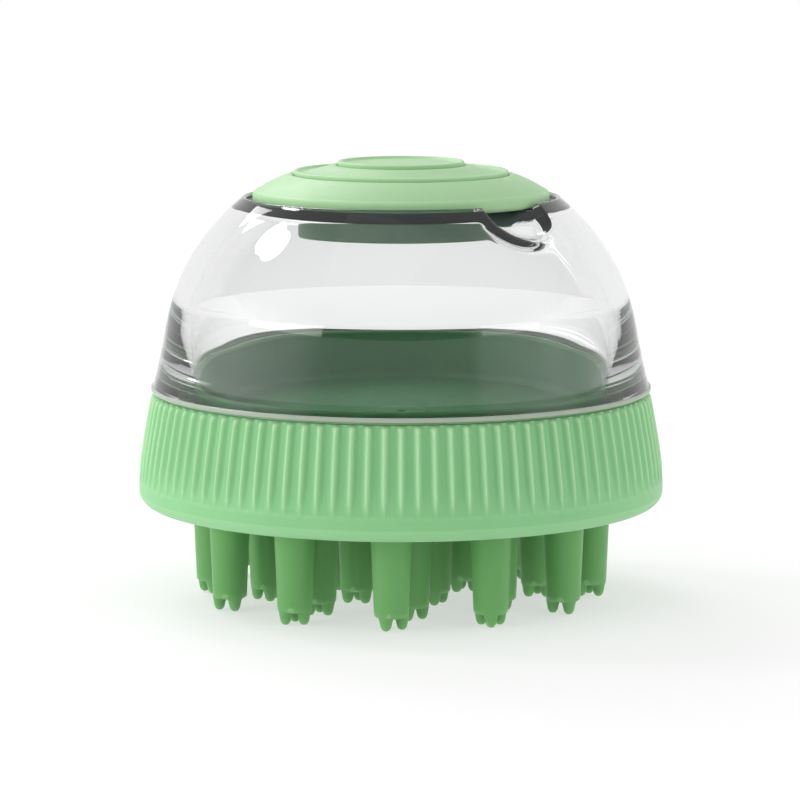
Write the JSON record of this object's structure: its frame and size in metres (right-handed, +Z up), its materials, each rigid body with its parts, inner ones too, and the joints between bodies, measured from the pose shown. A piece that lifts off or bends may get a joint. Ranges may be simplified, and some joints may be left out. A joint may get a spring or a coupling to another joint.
{
  "type": "scalp massager brush",
  "caption": "Palm-held scalp massager with a clear refillable dome, a pull-out pressed cap with a finger notch, a ribbed grip ring and soft nubbed bristles.",
  "frame": {"origin": "on the surface that the brush stands on, under the middle of the brush", "axes": "+Z up through the dome and the cap, -Y towards the front, the finger notch at the front right"},
  "size_m": [0.0848, 0.0848, 0.0707],
  "materials": {
    "clear_plastic": "polished, slightly smoky",
    "cap_silicone": "fine matt silicone, pale green",
    "head_silicone": "satin silicone, mid green"
  },
  "bodies": {
    "brush_head": {"grip_ring": "head_silicone", "sealing_collar": "head_silicone", "brush_floor": "head_silicone", "outlet_valve": "head_silicone", "bristle_01": "head_silicone", "bristle_02": "head_silicone", "bristle_03": "head_silicone", "bristle_04": "head_silicone", "bristle_05": "head_silicone", "bristle_06": "head_silicone", "bristle_07": "head_silicone", "bristle_08": "head_silicone", "bristle_09": "head_silicone", "bristle_10": "head_silicone", "bristle_11": "head_silicone", "bristle_12": "head_silicone", "bristle_13": "head_silicone", "bristle_14": "head_silicone", "bristle_15": "head_silicone", "bristle_16": "head_silicone", "bristle_17": "head_silicone", "bristle_18": "head_silicone", "bristle_19": "head_silicone", "bristle_20": "head_silicone", "bristle_21": "head_silicone", "bristle_22": "head_silicone", "bristle_23": "head_silicone", "bristle_24": "head_silicone", "bristle_25": "head_silicone", "bristle_26": "head_silicone"},
    "dome": {"dome_shell": "clear_plastic"},
    "cap": {"cap_rim": "cap_silicone", "cap_plug": "cap_silicone"},
    "middle_tier": {"cap_middle_tier": "cap_silicone"},
    "centre_disc": {"cap_centre_disc": "cap_silicone"}
  },
  "joints": [
    {"name": "dome_lift", "type": "slide", "parent": "brush_head", "child": "dome", "axis": [0, 0, 1], "range_m": [0, 0.02]},
    {"name": "cap_lift", "type": "slide", "parent": "dome", "child": "cap", "axis": [0, 0, 1], "range_m": [0, 0.02]},
    {"name": "centre_press", "type": "slide", "parent": "cap", "child": "centre_disc", "axis": [0, 0, 1], "range_m": [-0.003, 0], "stiffness_N_per_m": 400},
    {"name": "tier_press", "type": "slide", "parent": "cap", "child": "middle_tier", "axis": [0, 0, 1], "range_m": [-0.0015, 0]}
  ],
  "couplings": [
    {"joint": "tier_press", "follows": "centre_press", "ratio": 0.5}
  ]
}
